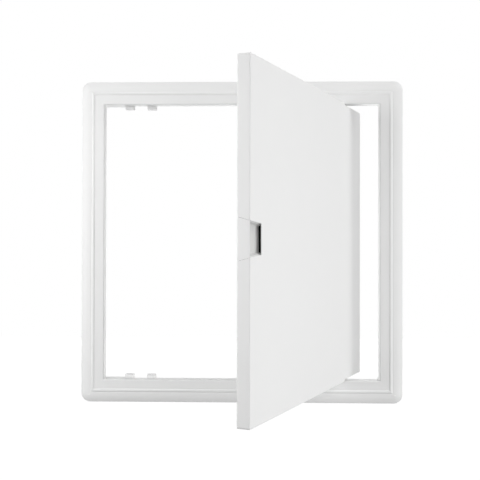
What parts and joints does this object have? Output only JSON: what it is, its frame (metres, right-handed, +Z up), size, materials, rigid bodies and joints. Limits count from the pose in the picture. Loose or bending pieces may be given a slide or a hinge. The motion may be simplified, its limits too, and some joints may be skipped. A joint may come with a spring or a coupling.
{
  "type": "ceiling access panel",
  "caption": "Square moulded access panel: a flanged frame with a collar for a cut-out, and a tray-shaped door on inset pivot pins that swings open by a finger pull.",
  "frame": {"origin": "centre of the opening, in the plane of the ceiling or wall surface that the flange rests on", "axes": "+Y into the void behind the panel, so the face looks along -Y; +X to the viewer's right, where the hinge is; +Z up along the hinge axis"},
  "size_m": [0.34, 0.2684, 0.34],
  "materials": {
    "white_shell": "satin moulded white plastic",
    "acetal": "smooth natural white plastic",
    "pocket": "matt dark grey plastic"
  },
  "bodies": {
    "frame": {"frame": "white_shell"},
    "door": {"door": "white_shell", "upper_hinge_pin": "acetal", "lower_hinge_pin": "acetal", "finger_pull": "white_shell", "pull_pocket": "pocket", "upper_catch": "acetal", "lower_catch": "acetal"}
  },
  "joints": [
    {"name": "door_hinge", "type": "hinge", "parent": "frame", "child": "door", "pos_m": [0.1085, 0.0028, 0], "axis": [0, 0, 1], "range_deg": [-66, 84]}
  ]
}
